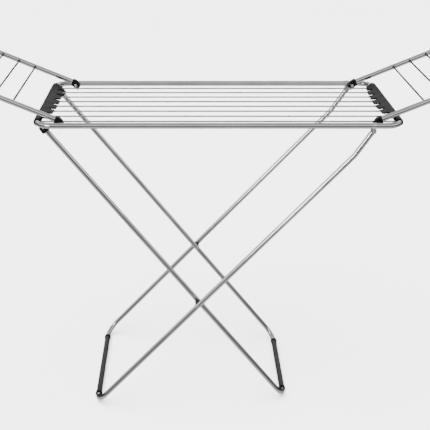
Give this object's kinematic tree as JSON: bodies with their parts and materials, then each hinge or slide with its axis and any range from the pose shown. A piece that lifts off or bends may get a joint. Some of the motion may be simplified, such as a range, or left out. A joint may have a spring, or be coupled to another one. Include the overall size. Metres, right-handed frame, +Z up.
{
  "type": "clothes drying rack",
  "caption": "Free-standing folding clothes drying rack: wired tube frame, raised side wings with cross wires, end combs for hangers and crossed tube legs.",
  "frame": {"origin": "on the floor under the middle of the top frame", "axes": "+X along the rails towards the end over the outer legs' hinge, +Y across the rack to the rear rail, +Z up"},
  "size_m": [1.9118, 0.5718, 1.2564],
  "materials": {
    "chrome_tube": "bright polished tube",
    "line_wire": "smooth bright wire",
    "wing_wire": "dark coated wire",
    "black_plastic": "satin moulded plastic",
    "dark_sleeve": "dark grey plastic sleeve",
    "black_rubber": "soft black rubber",
    "steel_pin": "plated rivet"
  },
  "bodies": {
    "frame": {"comb_left": "black_plastic", "comb_right": "black_plastic", "frame_tube_front": "chrome_tube", "frame_tube_rear": "chrome_tube", "joint_sleeve_left": "steel_pin", "joint_sleeve_right": "steel_pin", "leg_hinge_rivets": "steel_pin", "leg_hinge_strap_front": "steel_pin", "leg_hinge_strap_rear": "steel_pin", "line_wire_1": "line_wire", "line_wire_2": "line_wire", "line_wire_3": "line_wire", "line_wire_4": "line_wire", "line_wire_5": "line_wire", "line_wire_6": "line_wire", "line_wire_7": "line_wire", "line_wire_8": "line_wire", "wing_bracket_left_front": "black_plastic", "wing_bracket_left_rear": "black_plastic", "wing_bracket_right_front": "black_plastic", "wing_bracket_right_rear": "black_plastic", "wing_rivets_left": "steel_pin", "wing_rivets_right": "steel_pin"},
    "leg_b": {"leg_b_foot_bar": "dark_sleeve", "leg_b_foot_ring_front": "black_rubber", "leg_b_foot_ring_rear": "black_rubber", "leg_b_knuckle_front": "steel_pin", "leg_b_knuckle_rear": "steel_pin", "leg_b_tube_front": "chrome_tube", "leg_b_tube_rear": "chrome_tube", "leg_cross_rivets": "steel_pin", "leg_cross_spacers": "black_plastic"},
    "leg_a": {"leg_a_cap_front": "black_plastic", "leg_a_cap_rear": "black_plastic", "leg_a_cap_rivets": "steel_pin", "leg_a_foot_bar": "dark_sleeve", "leg_a_foot_ring_front": "black_rubber", "leg_a_foot_ring_rear": "black_rubber", "leg_a_tube_front": "chrome_tube", "leg_a_tube_rear": "chrome_tube"},
    "wing_left": {"wing_knuckle_left_front": "black_plastic", "wing_knuckle_left_rear": "black_plastic", "wing_tube_left": "chrome_tube", "wing_wire_left_1": "wing_wire", "wing_wire_left_2": "wing_wire", "wing_wire_left_3": "wing_wire", "wing_wire_left_4": "wing_wire", "wing_wire_left_5": "wing_wire"},
    "wing_right": {"wing_knuckle_right_front": "black_plastic", "wing_knuckle_right_rear": "black_plastic", "wing_tube_right": "chrome_tube", "wing_wire_right_1": "wing_wire", "wing_wire_right_2": "wing_wire", "wing_wire_right_3": "wing_wire", "wing_wire_right_4": "wing_wire", "wing_wire_right_5": "wing_wire"}
  },
  "joints": [
    {"name": "leg_b_fold", "type": "hinge", "parent": "frame", "child": "leg_b", "pos_m": [0.498, 0, 1.04], "axis": [0, 1, 0], "range_deg": [0, 46]},
    {"name": "leg_a_scissor", "type": "hinge", "parent": "leg_b", "child": "leg_a", "pos_m": [-0.06265, 0, 0.40675], "axis": [0, 1, 0], "range_deg": [0, 79.1]},
    {"name": "wing_left_hinge", "type": "hinge", "parent": "frame", "child": "wing_left", "pos_m": [-0.513, 0, 1.059], "axis": [0, 1, 0], "range_deg": [0, 153.5]},
    {"name": "wing_right_hinge", "type": "hinge", "parent": "frame", "child": "wing_right", "pos_m": [0.513, 0, 1.059], "axis": [0, -1, 0], "range_deg": [0, 153.5]}
  ],
  "couplings": [
    {"joint": "leg_a_scissor", "follows": "leg_b_fold", "ratio": 1.7157}
  ]
}
